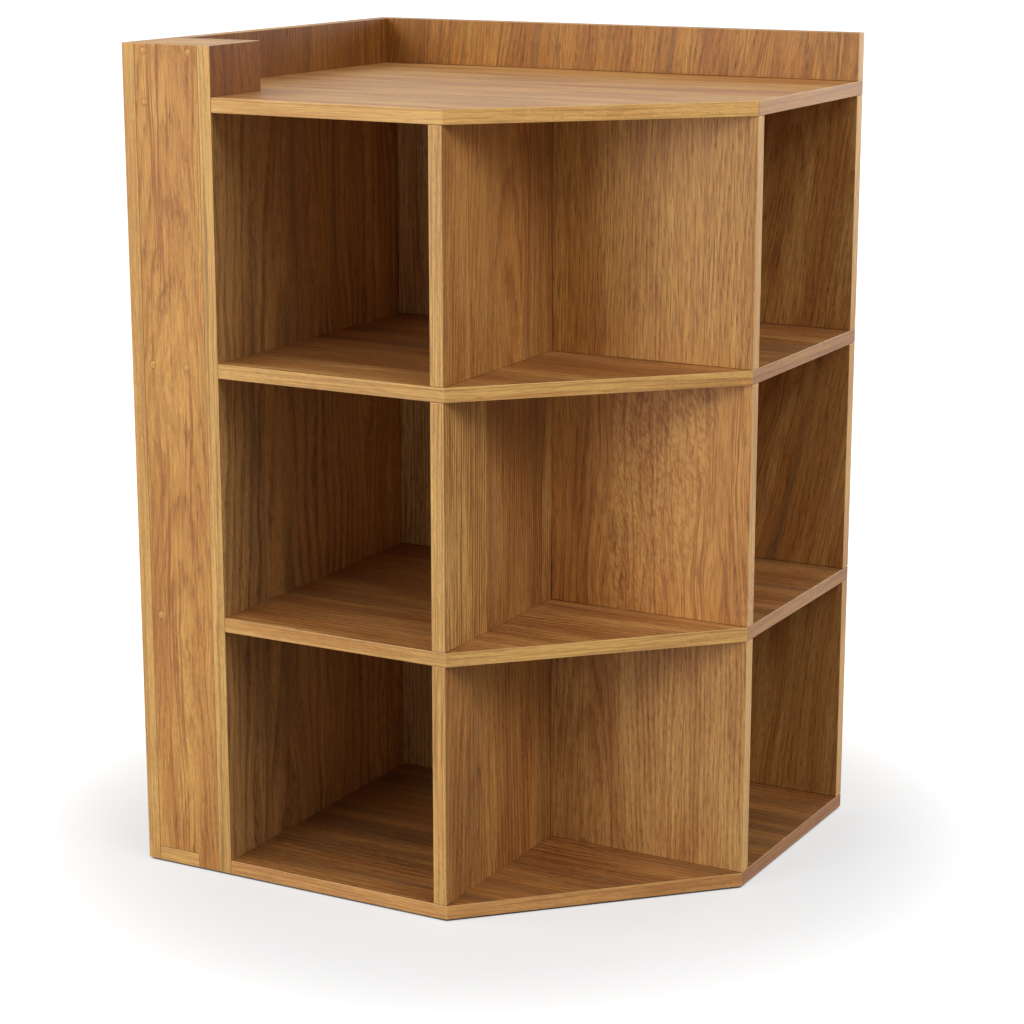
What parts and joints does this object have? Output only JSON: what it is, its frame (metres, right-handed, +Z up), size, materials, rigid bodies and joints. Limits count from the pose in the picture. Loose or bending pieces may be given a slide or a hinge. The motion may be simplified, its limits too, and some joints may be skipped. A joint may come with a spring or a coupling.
{
  "type": "corner shelf unit",
  "caption": "Open corner shelf unit in oak-look board: cut-off front corner, tiers of square and three-cornered cubbies, a hollow post and a rim round the top.",
  "frame": {"origin": "on the floor, under the middle of the unit's box", "axes": "+X to the right along the rear wall, +Y towards the rear wall, +Z up"},
  "size_m": [0.6, 0.508, 0.875],
  "materials": {
    "oak_level": "satin oak-look surface, grain along the board",
    "oak_upright": "satin oak-look surface, grain upright",
    "beech_dowel": "raw turned beech",
    "zinc_screw": "zinc plated",
    "cap_plastic": "matte, coloured like the boards",
    "glide_plastic": "matte dark plastic"
  },
  "bodies": {
    "root": {"bottom_board": "oak_level", "lower_shelf": "oak_level", "upper_shelf": "oak_level", "top_board": "oak_level", "post_cap": "oak_level", "post_foot_block": "oak_level", "post_spreader_lower": "oak_level", "post_spreader_middle": "oak_level", "post_spreader_upper": "oak_level", "rear_rim_rail": "oak_level", "left_outer_panel": "oak_upright", "left_side_panel": "oak_upright", "duct_rear_panel": "oak_upright", "post_front_panel": "oak_upright", "post_rear_panel": "oak_upright", "left_divider_bottom": "oak_upright", "left_divider_middle": "oak_upright", "left_divider_top": "oak_upright", "right_divider_bottom": "oak_upright", "right_divider_middle": "oak_upright", "right_divider_top": "oak_upright", "back_panel_bottom": "oak_upright", "back_panel_middle": "oak_upright", "back_panel_top": "oak_upright", "inner_back_panel_bottom": "oak_upright", "inner_back_panel_middle": "oak_upright", "inner_back_panel_top": "oak_upright", "left_divider_dowel_bottom_board": "beech_dowel", "left_divider_dowel_lower_shelf": "beech_dowel", "left_divider_dowel_upper_shelf": "beech_dowel", "left_divider_dowel_top_board": "beech_dowel", "right_divider_dowel_bottom_board": "beech_dowel", "right_divider_dowel_lower_shelf": "beech_dowel", "right_divider_dowel_upper_shelf": "beech_dowel", "right_divider_dowel_top_board": "beech_dowel", "post_dowel_bottom_board": "beech_dowel", "post_dowel_lower_shelf": "beech_dowel", "post_dowel_upper_shelf": "beech_dowel", "post_dowel_top_board": "beech_dowel", "rim_dowel_left": "beech_dowel", "rim_dowel_right": "beech_dowel", "top_board_dowel": "beech_dowel", "post_screw_top_left": "zinc_screw", "post_screw_top_right": "zinc_screw", "post_screw_upper_left": "zinc_screw", "post_screw_middle_left": "zinc_screw", "post_screw_middle_right": "zinc_screw", "post_screw_lower_left": "zinc_screw", "screw_cap_top_left": "cap_plastic", "screw_cap_top_right": "cap_plastic", "screw_cap_upper_left": "cap_plastic", "screw_cap_middle_left": "cap_plastic", "screw_cap_middle_right": "cap_plastic", "screw_cap_lower_left": "cap_plastic", "glide_front_left": "glide_plastic", "glide_rear_left": "glide_plastic", "glide_front_middle": "glide_plastic", "glide_rear_middle": "glide_plastic", "glide_front_right": "glide_plastic", "glide_rear_right": "glide_plastic"}
  },
  "joints": []
}
